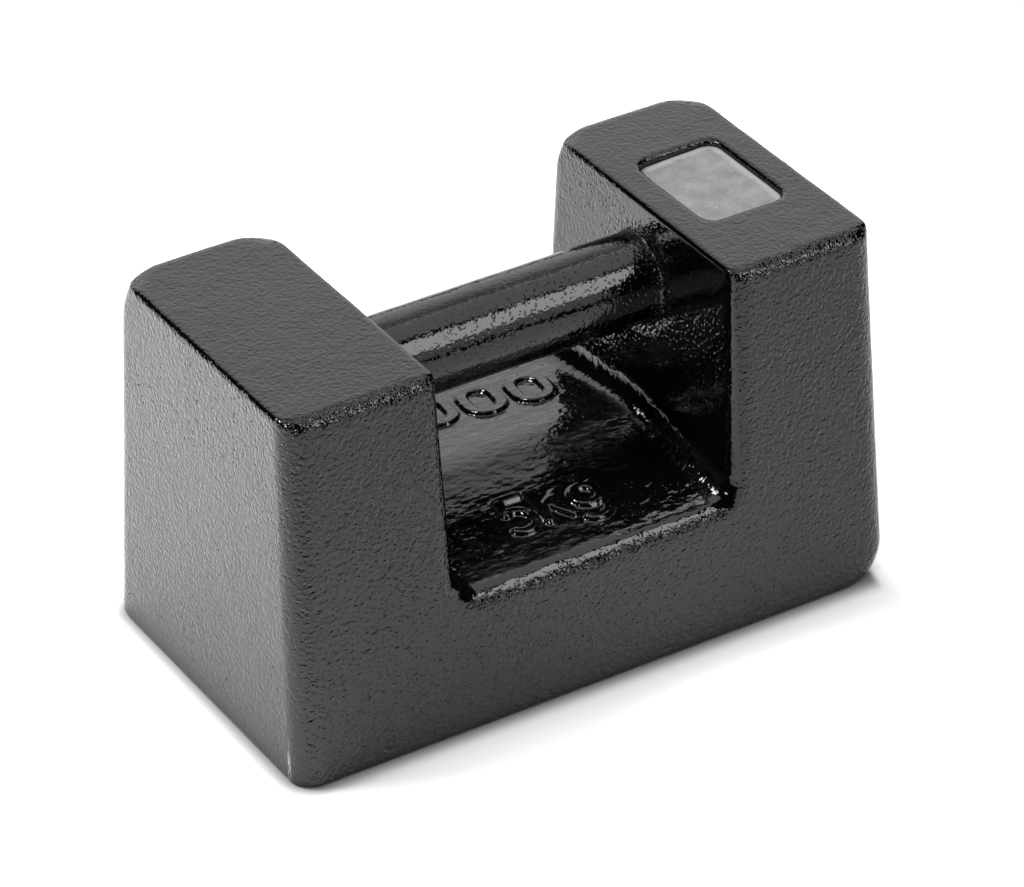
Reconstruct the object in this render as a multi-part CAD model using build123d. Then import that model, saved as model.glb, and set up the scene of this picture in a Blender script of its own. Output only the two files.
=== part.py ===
"""Rectangular cast-iron calibration weight of 5 kg, with a cast-in grip bar and a sealed adjusting cavity.

Frame: millimetres, +X along the length, +Y across the width, +Z up, origin at the middle of the base.

The casting is one piece: a tapered block with a hand pocket between two uprights, and a grip bar that
crosses the pocket. The +X upright holds the adjusting cavity, which opens on its top face. From the
bottom up the cavity takes loose lead shot, a steel closure plate on a ledge, and a lead seal that is
driven into a flared housing and ends a little under the top face.
"""

import os
from math import atan, cos, radians, sin, sqrt, tan

from build123d import *

# Block: a four-sided taper, larger at the base
BASE_LENGTH = 148.0
BASE_WIDTH = 82.0
TOP_LENGTH = 142.5
TOP_WIDTH = 72.4
HEIGHT = 86.1
CORNER_RADIUS = 5.7  # upright corners of the block
EDGE_RADIUS = 2.9  # top edges
FOOT_RADIUS = 1.4  # edge round the base

# Hand pocket between the uprights
POCKET_WIDTH = 71.0  # along X, at the top face
POCKET_DRAFT = 1.7  # degrees, each end wall leans outwards towards the top
FLOOR_HEIGHT = 32.0  # floor of the pocket at the front and back faces
CROWN_RISE = 5.2  # the floor's middle stands this much higher, so that it sheds water
CROWN_RADIUS = 30.0  # rounding along the crown
POCKET_CORNER_RADIUS = 5.4  # between the floor and the end walls
MOUTH_RADIUS = 3.9  # edge of the pocket on the front and back faces

# Grip bar
BAR_DIAMETER = 20.1
BAR_HEIGHT = 68.3  # axis above the base
BAR_FILLET = 1.0  # where the bar grows out of the end walls

# Adjusting cavity, centred on the top face of the +X upright
SEAL_WIDTH = 20.3  # mouth of the seal's housing, along X
SEAL_LENGTH = 29.3  # along Y
SEAL_CORNER_RADIUS = 3.6
SEAL_SINK = 1.4  # top of the lead below the top face
SEAL_THICKNESS = 4.0
SEAL_FLARE = 0.6  # the housing widens by this much on each side under the seal's top
SEAL_DISH = 0.35  # hollow hammered into the seal's top
SEAL_RIM = 1.6  # width of the higher rim that is left round the hollow
SEAL_FIT = 0.03
RECESS_EDGE_RADIUS = 0.8
PLATE_THICKNESS = 2.0
PLATE_CORNER_RADIUS = 3.0
PLATE_SEAT = 1.8  # width of the ledge that carries the plate
PLATE_FIT = 0.15  # between the plate's rim and its seat
CAVITY_WIDTH = 13.2
CAVITY_LENGTH = 23.0
CAVITY_DEPTH = 38.0  # below the plate
CAVITY_CORNER_RADIUS = 3.0
SHOT_DIAMETER = 4.2
SHOT_GAP = 0.04
SHOT_LAYERS = 4

# Cast-in figures on the two slopes of the pocket's floor
RELIEF = 0.9  # height of the figures
VALUE_STROKE = 2.1  # "5kg" on the front slope
VALUE_HEIGHT = 9.8  # as far as the middles of the strokes, as are the widths
VALUE_WIDTH = 5.6
VALUE_PITCH = 8.1  # from one character to the next
VALUE_X = -1.0
VALUE_Y = -21.3
VALUE_TURN = -2.0  # degrees, as set by hand in the pattern
VALUE_DROP = 3.2  # how far the tail of the g hangs under the line
GRAMS_STROKE = 2.7  # "5000" on the back slope
GRAMS_HEIGHT = 11.4
GRAMS_WIDTH = 7.4
GRAMS_PITCH = 11.4
GRAMS_X = 2.0
GRAMS_Y = 21.6
GRAMS_TURN = -9.0


def half_width_at(z):
    """Distance from the middle plane to the front or back face, at a height."""
    return (BASE_WIDTH + (TOP_WIDTH - BASE_WIDTH) * z / HEIGHT) / 2


def pocket_half_width_at(z):
    """Distance from the middle to an end wall of the pocket, at a height."""
    return POCKET_WIDTH / 2 - (HEIGHT - z) * tan(radians(POCKET_DRAFT))


# Places that follow from the sizes above
SEAL_X = (POCKET_WIDTH + TOP_LENGTH) / 4
SEAL_TOP = HEIGHT - SEAL_SINK
SEAL_BOTTOM = SEAL_TOP - SEAL_THICKNESS
PLATE_BOTTOM = SEAL_BOTTOM - PLATE_THICKNESS
CAVITY_FLOOR = PLATE_BOTTOM - CAVITY_DEPTH
PLATE_POCKET_WIDTH = CAVITY_WIDTH + 2 * PLATE_SEAT
PLATE_POCKET_LENGTH = CAVITY_LENGTH + 2 * PLATE_SEAT


def floor_profile(lift):
    """Section of the pocket's floor in the YZ plane: two slopes that meet in a rounded crown.

    lift raises the whole floor line. The section reaches from it to under the base.
    """
    reach = half_width_at(FLOOR_HEIGHT)
    slope = atan(CROWN_RISE / reach)
    crown = FLOOR_HEIGHT + CROWN_RISE + lift
    peak = crown + CROWN_RADIUS * (1 / cos(slope) - 1)
    tangent_y = CROWN_RADIUS * sin(slope)
    tangent_z = peak - tangent_y * tan(slope)
    # The slopes run on past the faces, so that the section cuts them cleanly
    far = reach * 1.5
    foot = peak - far * tan(slope)
    front = Line((0, -far, foot), (0, -tangent_y, tangent_z))
    top = ThreePointArc((0, -tangent_y, tangent_z), (0, 0, crown), (0, tangent_y, tangent_z))
    back = Line((0, tangent_y, tangent_z), (0, far, foot))
    below = Polyline((0, far, foot), (0, far, -1), (0, -far, -1), (0, -far, foot))
    return make_face(Curve() + [front, top, back, below])


def under_floor(lift=0.0):
    """Solid under the pocket's floor, longer than the block, with its top raised by lift."""
    return extrude(floor_profile(lift), amount=BASE_LENGTH, dir=(1, 0, 0), both=True)


def tapered_block():
    """The block before the pocket is cut, with its rounded upright corners."""
    base = RectangleRounded(BASE_LENGTH, BASE_WIDTH, CORNER_RADIUS)
    top = Pos(0, 0, HEIGHT) * RectangleRounded(TOP_LENGTH, TOP_WIDTH, CORNER_RADIUS)
    return loft([base, top], ruled=True)


def pocket_space():
    """The space that the hand pocket takes out of the block, with its rounded lower corners."""
    over = HEIGHT + EDGE_RADIUS
    low = FLOOR_HEIGHT / 2
    outline = make_face(
        Polyline(
            (-pocket_half_width_at(low), 0, low),
            (pocket_half_width_at(low), 0, low),
            (pocket_half_width_at(over), 0, over),
            (-pocket_half_width_at(over), 0, over),
            close=True,
        )
    )
    space = extrude(outline, amount=BASE_WIDTH, dir=(0, 1, 0), both=True) - under_floor()
    walls = space.faces().filter_by(lambda f: abs(f.normal_at().X) > 0.9)
    floors = space.faces().filter_by(lambda f: f.normal_at().Z < -0.9)
    floor_edges = set(floors.edges())
    corners = [e for e in walls.edges() if e in floor_edges]
    return fillet(corners, POCKET_CORNER_RADIUS)


def in_pocket_mouth(edge):
    """Whether an edge of the cut block runs round the mouth of the pocket, on the front or back face."""
    box = edge.bounding_box()
    inside = box.max.X < BASE_LENGTH / 2 - CORNER_RADIUS and box.min.X > CORNER_RADIUS - BASE_LENGTH / 2
    on_face = abs(abs(edge.center().Y) - half_width_at(edge.center().Z)) < 0.2
    return inside and on_face and box.min.Z > 1 and box.min.Z < HEIGHT - 1


def rounded_block():
    """The block with its pocket and all its outer roundings."""
    body = tapered_block() - pocket_space()
    body = fillet(body.edges().filter_by(in_pocket_mouth), MOUTH_RADIUS)
    tops = body.faces().filter_by(lambda f: f.normal_at().Z > 0.99 and f.center().Z > HEIGHT - 1)
    body = fillet(tops.edges(), EDGE_RADIUS)
    return fillet(body.faces().sort_by(Axis.Z)[0].edges(), FOOT_RADIUS)


def with_grip_bar(body):
    """Grow the round grip bar across the pocket, with a small fillet at each end wall."""
    reach = pocket_half_width_at(HEIGHT) + EDGE_RADIUS
    bar = Pos(0, 0, BAR_HEIGHT) * Rot(0, 90, 0) * Cylinder(BAR_DIAMETER / 2, 2 * reach)
    body = body + bar
    sides = body.faces().filter_by(GeomType.CYLINDER)
    bar_side = sides.filter_by(lambda f: abs(f.radius - BAR_DIAMETER / 2) < 1e-6)
    ends = [e for e in bar_side.edges() if abs(e.center().X) > 1 and e.length > BAR_DIAMETER]
    return fillet(ends, BAR_FILLET)


def upright_prism(width, length, radius, bottom, top):
    """A straight rounded-rectangular prism on the axis of the adjusting cavity."""
    return extrude(Pos(SEAL_X, 0, bottom) * RectangleRounded(width, length, radius), amount=top - bottom)


def seal_space(fit, top):
    """The flared space of the lead seal from SEAL_BOTTOM to top, smaller all round by fit."""
    share = (top - SEAL_BOTTOM) / SEAL_THICKNESS
    mouth_width = SEAL_WIDTH - 2 * fit
    mouth_length = SEAL_LENGTH - 2 * fit
    low = Pos(SEAL_X, 0, SEAL_BOTTOM) * RectangleRounded(
        mouth_width + 2 * SEAL_FLARE, mouth_length + 2 * SEAL_FLARE, SEAL_CORNER_RADIUS + SEAL_FLARE
    )
    grow = SEAL_FLARE * (1 - share)
    high = Pos(SEAL_X, 0, top) * RectangleRounded(
        mouth_width + 2 * grow, mouth_length + 2 * grow, SEAL_CORNER_RADIUS + grow
    )
    return loft([low, high], ruled=True)


def with_adjusting_cavity(body):
    """Cut the stepped adjusting cavity: recess, flared housing, seat of the plate, then the cavity."""
    recess = upright_prism(SEAL_WIDTH, SEAL_LENGTH, SEAL_CORNER_RADIUS, SEAL_TOP, HEIGHT + 1)
    seat = upright_prism(
        PLATE_POCKET_WIDTH, PLATE_POCKET_LENGTH, PLATE_CORNER_RADIUS, PLATE_BOTTOM, SEAL_BOTTOM
    )
    cavity = upright_prism(
        CAVITY_WIDTH, CAVITY_LENGTH, CAVITY_CORNER_RADIUS, CAVITY_FLOOR, PLATE_BOTTOM
    )
    body = body - recess - seal_space(0, SEAL_TOP) - seat - cavity
    mouth = body.edges().filter_by(
        lambda e: abs(e.center().Z - HEIGHT) < 1e-6
        and abs(e.center().X - SEAL_X) < SEAL_WIDTH / 2 + 1e-3
        and abs(e.center().Y) < SEAL_LENGTH / 2 + 1e-3
    )
    return fillet(mouth, RECESS_EDGE_RADIUS)


def stroke(line_width, *points):
    """One stroke of a figure: a straight line, or an arc through three points, with round ends."""
    line = Line(*points) if len(points) == 2 else ThreePointArc(*points)
    return SlotArc(line, line_width)


def figure_five(width, height, line_width):
    """The figure 5, with the middle of its lower left stroke at the origin."""
    waist = 0.56 * height
    neck = 0.1 * width
    top = stroke(line_width, (width, height), (neck, height))
    back = stroke(line_width, (neck, height), (neck, waist))
    bowl = stroke(line_width, (neck, waist), (width, waist / 2), (0, 0))
    return top + back + bowl


def figure_zero(width, height, line_width):
    """The figure 0, an upright ring with straight sides."""
    outer = SlotOverall(height + line_width, width + line_width, rotation=90)
    inner = SlotOverall(height - line_width, width - line_width, rotation=90)
    return Pos(width / 2, height / 2) * (outer - inner)


def letter_k(width, height, line_width):
    """The letter k of the unit."""
    fork = (0, 0.35 * height)
    branch = (0.4 * width, 0.52 * height)
    back = stroke(line_width, (0, 0), (0, height))
    arm = stroke(line_width, fork, (width, 0.76 * height))
    leg = stroke(line_width, branch, (width, 0))
    return back + arm + leg


def letter_g(width, height, line_width):
    """The letter g of the unit, whose tail hangs under the line."""
    radius = width / 2
    middle = 0.7 * height - radius
    ring = Pos(radius, middle) * (Circle(radius + line_width / 2) - Circle(radius - line_width / 2))
    back = stroke(line_width, (width, middle + radius), (width, 0))
    tail = stroke(line_width, (width, 0), (0.55 * width, -VALUE_DROP), (0, 0.2 * radius - VALUE_DROP))
    return ring + back + tail


def text_row(glyphs, pitch, width, height, line_width):
    """Set glyphs side by side, each pitch from the last, centred on the origin."""
    start = (-(len(glyphs) - 1) * pitch - width) / 2
    places = [Pos(start + i * pitch, -height / 2) for i in range(len(glyphs))]
    return [place * glyph(width, height, line_width) for place, glyph in zip(places, glyphs)]


def with_figures(body):
    """Raise the nominal value on the front slope, and plain figures of grams on the back slope."""
    unit = [letter_k, letter_g]
    value = text_row([figure_five] + unit, VALUE_PITCH, VALUE_WIDTH, VALUE_HEIGHT, VALUE_STROKE)
    thousands = [figure_five] + [figure_zero] * 3
    grams = text_row(thousands, GRAMS_PITCH, GRAMS_WIDTH, GRAMS_HEIGHT, GRAMS_STROKE)
    value_place = Pos(VALUE_X, VALUE_Y, FLOOR_HEIGHT / 2) * Rot(0, 0, VALUE_TURN)
    grams_place = Pos(GRAMS_X, GRAMS_Y, FLOOR_HEIGHT / 2) * Rot(0, 0, GRAMS_TURN)
    sketches = [value_place * glyph for glyph in value] + [grams_place * glyph for glyph in grams]
    raised_floor = under_floor(RELIEF)
    for sketch in sketches:
        body = body + (extrude(sketch, amount=HEIGHT / 2, dir=(0, 0, 1)) & raised_floor)
    return body


def cast_body():
    """The whole casting."""
    return with_adjusting_cavity(with_figures(with_grip_bar(rounded_block())))


def adjusting_shot():
    """Loose lead shot: rows of balls, with every second layer lying in the hollows of the one below."""
    pitch = SHOT_DIAMETER + SHOT_GAP
    rise = pitch / sqrt(2)
    across = int(CAVITY_WIDTH // pitch)
    along = int(CAVITY_LENGTH // pitch)
    balls = []
    for layer in range(SHOT_LAYERS):
        odd = layer % 2
        height = CAVITY_FLOOR + SHOT_DIAMETER / 2 + layer * rise
        spots = GridLocations(pitch, pitch, across - odd, along - odd)
        balls += [Pos(SEAL_X, 0, height) * spot * Sphere(SHOT_DIAMETER / 2) for spot in spots]
    return Compound(children=balls)


def closure_plate():
    """Mild-steel plate that closes the cavity."""
    return upright_prism(
        PLATE_POCKET_WIDTH - 2 * PLATE_FIT,
        PLATE_POCKET_LENGTH - 2 * PLATE_FIT,
        PLATE_CORNER_RADIUS - PLATE_FIT,
        PLATE_BOTTOM,
        SEAL_BOTTOM,
    )


def lead_seal():
    """Lead seal that fills the flared housing, with a shallow hammered hollow in its top."""
    seal = seal_space(SEAL_FIT, SEAL_TOP)
    dish = upright_prism(
        SEAL_WIDTH - 2 * SEAL_RIM,
        SEAL_LENGTH - 2 * SEAL_RIM,
        SEAL_CORNER_RADIUS - SEAL_RIM,
        SEAL_TOP - SEAL_DISH,
        SEAL_TOP + 1,
    )
    return seal - dish


def main():
    """Build every piece and write it to its own file."""
    pieces = {
        "cast_body": cast_body(),
        "adjusting_shot": adjusting_shot(),
        "closure_plate": closure_plate(),
        "lead_seal": lead_seal(),
    }
    os.makedirs("parts", exist_ok=True)
    for name, piece in pieces.items():
        export_step(piece, os.path.join("parts", name + ".step"))


if __name__ == "__main__":
    main()
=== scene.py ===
"""Looks of a rectangular 5 kg calibration weight: as-cast iron under gloss black enamel, with a lead seal.

The casting and the seal are modelled as distance fields in millimetres and turned into meshes on graded
grids, so that every edge has its cast rounding. Geometry Nodes give the casting its unevenness and
scatter the small faults of the enamel over it. The closure plate and the lead shot stay as they are.
"""

import logging
import math
from dataclasses import dataclass
from enum import Enum
from functools import partialmethod
from typing import Callable, Mapping, Optional, Sequence, Union

import bmesh
import bpy
import numpy as np
from bpy.types import ID, Light, Material, Mesh, Node, NodeSocket, NodeTree, Object
from mathutils import Matrix, Vector


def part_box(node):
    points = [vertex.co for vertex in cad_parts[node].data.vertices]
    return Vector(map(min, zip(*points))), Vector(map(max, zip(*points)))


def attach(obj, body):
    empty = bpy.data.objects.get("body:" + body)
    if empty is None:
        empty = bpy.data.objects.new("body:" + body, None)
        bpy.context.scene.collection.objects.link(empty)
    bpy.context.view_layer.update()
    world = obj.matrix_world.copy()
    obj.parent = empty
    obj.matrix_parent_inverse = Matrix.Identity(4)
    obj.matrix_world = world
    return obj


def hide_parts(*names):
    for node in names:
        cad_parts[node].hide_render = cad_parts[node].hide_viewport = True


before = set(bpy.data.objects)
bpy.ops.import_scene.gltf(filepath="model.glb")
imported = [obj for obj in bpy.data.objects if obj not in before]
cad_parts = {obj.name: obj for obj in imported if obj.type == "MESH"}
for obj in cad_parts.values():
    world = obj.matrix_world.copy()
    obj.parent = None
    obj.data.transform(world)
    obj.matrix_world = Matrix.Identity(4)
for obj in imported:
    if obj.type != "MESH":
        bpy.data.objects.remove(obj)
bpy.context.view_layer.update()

LOG = logging.getLogger("calibration_weight")
MM = 0.001
BODY = "root"

Array = np.ndarray
Field = Callable[[Array], Array]
Feeds = Mapping[Union[str, int], object]
Triple = tuple[float, float, float]


# Distance fields and meshes


def round_cut(a: Array, b: Array, radius: float) -> Array:
    """Distances to the common part of two solids, with a rounded edge where their faces meet."""
    inside = np.minimum(np.maximum(a, b), -radius)
    return inside + np.hypot(np.maximum(a + radius, 0), np.maximum(b + radius, 0))


def round_join(a: Array, b: Array, radius: float) -> Array:
    """Distances to two solids joined with a fillet in the inner corner."""
    return -round_cut(-a, -b, radius)


def rounded_prism(x: Array, y: Array, half_x: Array, half_y: Array, radius: Array) -> Array:
    """Distance to an upright prism with a rounded rectangular section, centred on the Z axis.

    Args:
        x: Offsets from its axis along the length.
        y: Offsets from its axis across the width.
        half_x: Half the section's size along X.
        half_y: Half the section's size along Y.
        radius: Radius of the section's corners.

    Returns:
        Distances in the plane of the section.
    """
    over_x = np.abs(x) - half_x + radius
    over_y = np.abs(y) - half_y + radius
    outside = np.hypot(np.maximum(over_x, 0), np.maximum(over_y, 0))
    return outside + np.minimum(np.maximum(over_x, over_y), 0) - radius


def graded_lines(start: float, spans: Sequence[tuple[float, float]]) -> Array:
    """Grid lines that change their spacing from span to span.

    Args:
        start: Place of the first line.
        spans: The end of each span, and the spacing that it should have.

    Returns:
        The places of all lines, in rising order.
    """
    lines = [start]
    for end, spacing in spans:
        count = max(1, round((end - lines[-1]) / spacing))
        lines.extend(np.linspace(lines[-1], end, count + 1)[1:])
    return np.array(lines)


def mirrored_lines(spans: Sequence[tuple[float, float]]) -> Array:
    """Grid lines on both sides of zero, from spans that lead outwards from it."""
    half = graded_lines(0.0, spans)
    return np.concatenate([-half[:0:-1], half])


def field_gradient(distance: Field, points: Array) -> Array:
    """Direction in which a field rises, by central differences.

    Args:
        distance: The field.
        points: Points in millimetres, one in each row.

    Returns:
        One gradient for each point.
    """
    step = 0.01
    slopes = []
    for axis in range(3):
        shift = np.zeros(3)
        shift[axis] = step
        slopes.append((distance(points + shift) - distance(points - shift)) / (2 * step))
    return np.stack(slopes, axis=-1)


def settle(distance: Field, points: Array, rounds: int = 4) -> Array:
    """Move points onto the surface of a field.

    Args:
        distance: The field.
        points: Points close to the surface.
        rounds: How many Newton steps to take.

    Returns:
        The moved points.
    """
    longest, least_steep = 0.5, 0.25
    for _ in range(rounds):
        slope = field_gradient(distance, points)
        steep = np.maximum((slope**2).sum(axis=-1), least_steep)
        step = np.clip(distance(points) / steep, -longest, longest)
        points = points - step[:, None] * slope
    return points


@dataclass
class SurfaceNet:
    """A closed quad mesh round the inside of a distance field, on a grid with uneven spacing."""

    x: Array
    y: Array
    z: Array

    def build(self, distance: Field) -> tuple[Array, Array]:
        """Mesh the surface of a field.

        Args:
            distance: The field, negative inside the solid.

        Returns:
            The vertices, and the quads as rows of four vertex numbers.
        """
        grid = np.stack(np.meshgrid(self.x, self.y, self.z, indexing="ij"), axis=-1)
        value = distance(grid)
        cells = tuple(size - 1 for size in value.shape)
        total = np.zeros(cells + (3,))
        count = np.zeros(cells)
        crossed: list[Array] = []
        for axis in range(3):
            low, high = self._ends(axis, value)
            crossed.append((low < 0) != (high < 0))
            share = np.where(crossed[axis], low / np.where(low == high, 1.0, low - high), 0.0)
            start, end = self._ends(axis, grid)
            point = start + share[..., None] * (end - start)
            for part in self._cell_parts(axis, cells):
                total += np.where(crossed[axis][part][..., None], point[part], 0.0)
                count += crossed[axis][part]
        used = count > 0
        number = np.full(cells, -1)
        number[used] = np.arange(used.sum())
        quads = [self._quads(axis, value, crossed[axis], number) for axis in range(3)]
        vertices = total[used] / count[used][:, None]
        return settle(distance, vertices), np.concatenate(quads)

    @staticmethod
    def _ends(axis: int, grid: Array) -> tuple[Array, Array]:
        """Values at the low and the high ends of all grid edges along an axis."""
        count = grid.shape[axis]
        return np.take(grid, range(count - 1), axis), np.take(grid, range(1, count), axis)

    @staticmethod
    def _cell_parts(axis: int, cells: tuple[int, ...]) -> list[tuple[slice, ...]]:
        """The four slices of an axis's edges that line up with the cells beside them."""
        parts = []
        for first in (0, 1):
            for second in (0, 1):
                shifts = [0, 0, 0]
                shifts[(axis + 1) % 3] = first
                shifts[(axis + 2) % 3] = second
                parts.append(tuple(slice(s, s + size) for s, size in zip(shifts, cells)))
        return parts

    @staticmethod
    def _quads(axis: int, value: Array, crossed: Array, number: Array) -> Array:
        """Quads round the crossed edges of one axis, facing out of the solid."""
        places = np.argwhere(crossed)
        second, third = (axis + 1) % 3, (axis + 2) % 3
        corners = []
        for back_second, back_third in ((1, 1), (0, 1), (0, 0), (1, 0)):
            cell = places.copy()
            cell[:, second] -= back_second
            cell[:, third] -= back_third
            corners.append(number[tuple(cell.T)])
        quads = np.stack(corners, axis=-1)
        leaving = value[tuple(places.T)] < 0
        quads[~leaving] = quads[~leaving][:, ::-1]
        return quads


def linked(name: str, data: ID) -> Object:
    """Make an object and link it to the scene.

    Args:
        name: Name of the object.
        data: Its mesh, light or camera.

    Returns:
        The object.
    """
    piece = bpy.data.objects.new(name, data)
    bpy.context.scene.collection.objects.link(piece)
    return piece


def mesh_object(name: str, vertices: Array, faces: Array) -> Object:
    """Make a smooth-shaded object from vertices in millimetres.

    Args:
        name: Name of the object and its mesh.
        vertices: Places of the vertices.
        faces: Rows of vertex numbers.

    Returns:
        The object, linked to the scene, at the origin.
    """
    mesh = bpy.data.meshes.new(name)
    mesh.from_pydata((vertices * MM).tolist(), [], faces.tolist())
    mesh.polygons.foreach_set("use_smooth", [True] * len(mesh.polygons))
    mesh.update()
    return linked(name, mesh)


def vertex_places(mesh: Mesh) -> Array:
    """Read a mesh's vertices, in millimetres.

    Args:
        mesh: The mesh.

    Returns:
        One row for each vertex.
    """
    places = np.empty(len(mesh.vertices) * 3)
    mesh.vertices.foreach_get("co", places)
    return places.reshape(-1, 3) / MM


# The casting


@dataclass(frozen=True)
class Lettering:
    """A row of raised figures drawn with one stroke width, in the sizes that the pattern maker set."""

    glyphs: str
    x: float
    y: float
    turn: float
    pitch: float
    width: float
    height: float
    stroke: float
    drop: float = 0.0

    @staticmethod
    def arc(start: Array, middle: Array, end: Array) -> Array:
        """Points along the circle through three points.

        Args:
            start: First point of the arc.
            middle: A point on the way.
            end: Last point of the arc.

        Returns:
            The points from start to end.
        """
        steps = 14
        (ax, ay), (bx, by), (cx, cy) = start, middle, end
        d = 2 * (ax * (by - cy) + bx * (cy - ay) + cx * (ay - by))
        squares = (ax * ax + ay * ay, bx * bx + by * by, cx * cx + cy * cy)
        ux = (squares[0] * (by - cy) + squares[1] * (cy - ay) + squares[2] * (ay - by)) / d
        uy = (squares[0] * (cx - bx) + squares[1] * (ax - cx) + squares[2] * (bx - ax)) / d
        angles = [math.atan2(p[1] - uy, p[0] - ux) for p in (start, middle, end)]
        turn = (angles[2] - angles[0]) % math.tau
        if (angles[1] - angles[0]) % math.tau > turn:
            turn -= math.tau
        sweep = angles[0] + turn * np.linspace(0, 1, steps)
        radius = math.hypot(ax - ux, ay - uy)
        return np.stack([ux + radius * np.cos(sweep), uy + radius * np.sin(sweep)], axis=-1)

    def strokes(self, glyph: str) -> list[Array]:
        """The middle lines of one glyph's strokes, from its lower left corner.

        Args:
            glyph: One of 5, 0, k and g.

        Returns:
            Polylines, each an array of points.
        """
        w, h = self.width, self.height
        if glyph == "5":
            waist, neck = 0.56 * h, 0.1 * w
            top = np.array([(w, h), (neck, h), (neck, waist)])
            return [top, self.arc((neck, waist), (w, waist / 2), (0, 0))]
        if glyph == "0":
            r = w / 2
            upper = self.arc((w, h - r), (r, h), (0, h - r))
            lower = self.arc((0, r), (r, 0), (w, r))
            return [np.concatenate([upper, lower, upper[:1]])]
        if glyph == "k":
            arm = np.array([(0, 0.35 * h), (w, 0.76 * h)])
            leg = np.array([(0.4 * w, 0.52 * h), (w, 0)])
            return [np.array([(0, 0), (0, h)]), arm, leg]
        r = w / 2
        middle = 0.7 * h - r
        ring = [self.arc((w, middle), (r, middle + r), (0, middle))]
        ring.append(self.arc((0, middle), (r, middle - r), (w, middle)))
        back = np.array([(w, middle + r), (w, 0)])
        tail = self.arc((w, 0), (0.55 * w, -self.drop), (0, 0.2 * r - self.drop))
        return ring + [back, tail]

    def placed_strokes(self) -> list[Array]:
        """All strokes of the row, in the frame of the weight."""
        start = -((len(self.glyphs) - 1) * self.pitch + self.width) / 2
        turn = math.radians(self.turn)
        rotation = np.array([[math.cos(turn), math.sin(turn)], [-math.sin(turn), math.cos(turn)]])
        placed = []
        for index, glyph in enumerate(self.glyphs):
            corner = np.array([start + index * self.pitch, -self.height / 2])
            for line in self.strokes(glyph):
                placed.append((line + corner) @ rotation + (self.x, self.y))
        return placed

    def distance(self, points: Array) -> Array:
        """Distance in plan from points to the middle of the nearest stroke.

        Args:
            points: Places in plan, one in each row.

        Returns:
            One distance for each point.
        """
        nearest = np.full(len(points), np.inf)
        for line in self.placed_strokes():
            for a, b in zip(line[:-1], line[1:]):
                along = b - a
                share = np.clip((points - a) @ along / max(along @ along, 1e-9), 0, 1)
                gap = np.linalg.norm(points - a - share[:, None] * along, axis=-1)
                nearest = np.minimum(nearest, gap)
        return nearest


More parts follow.
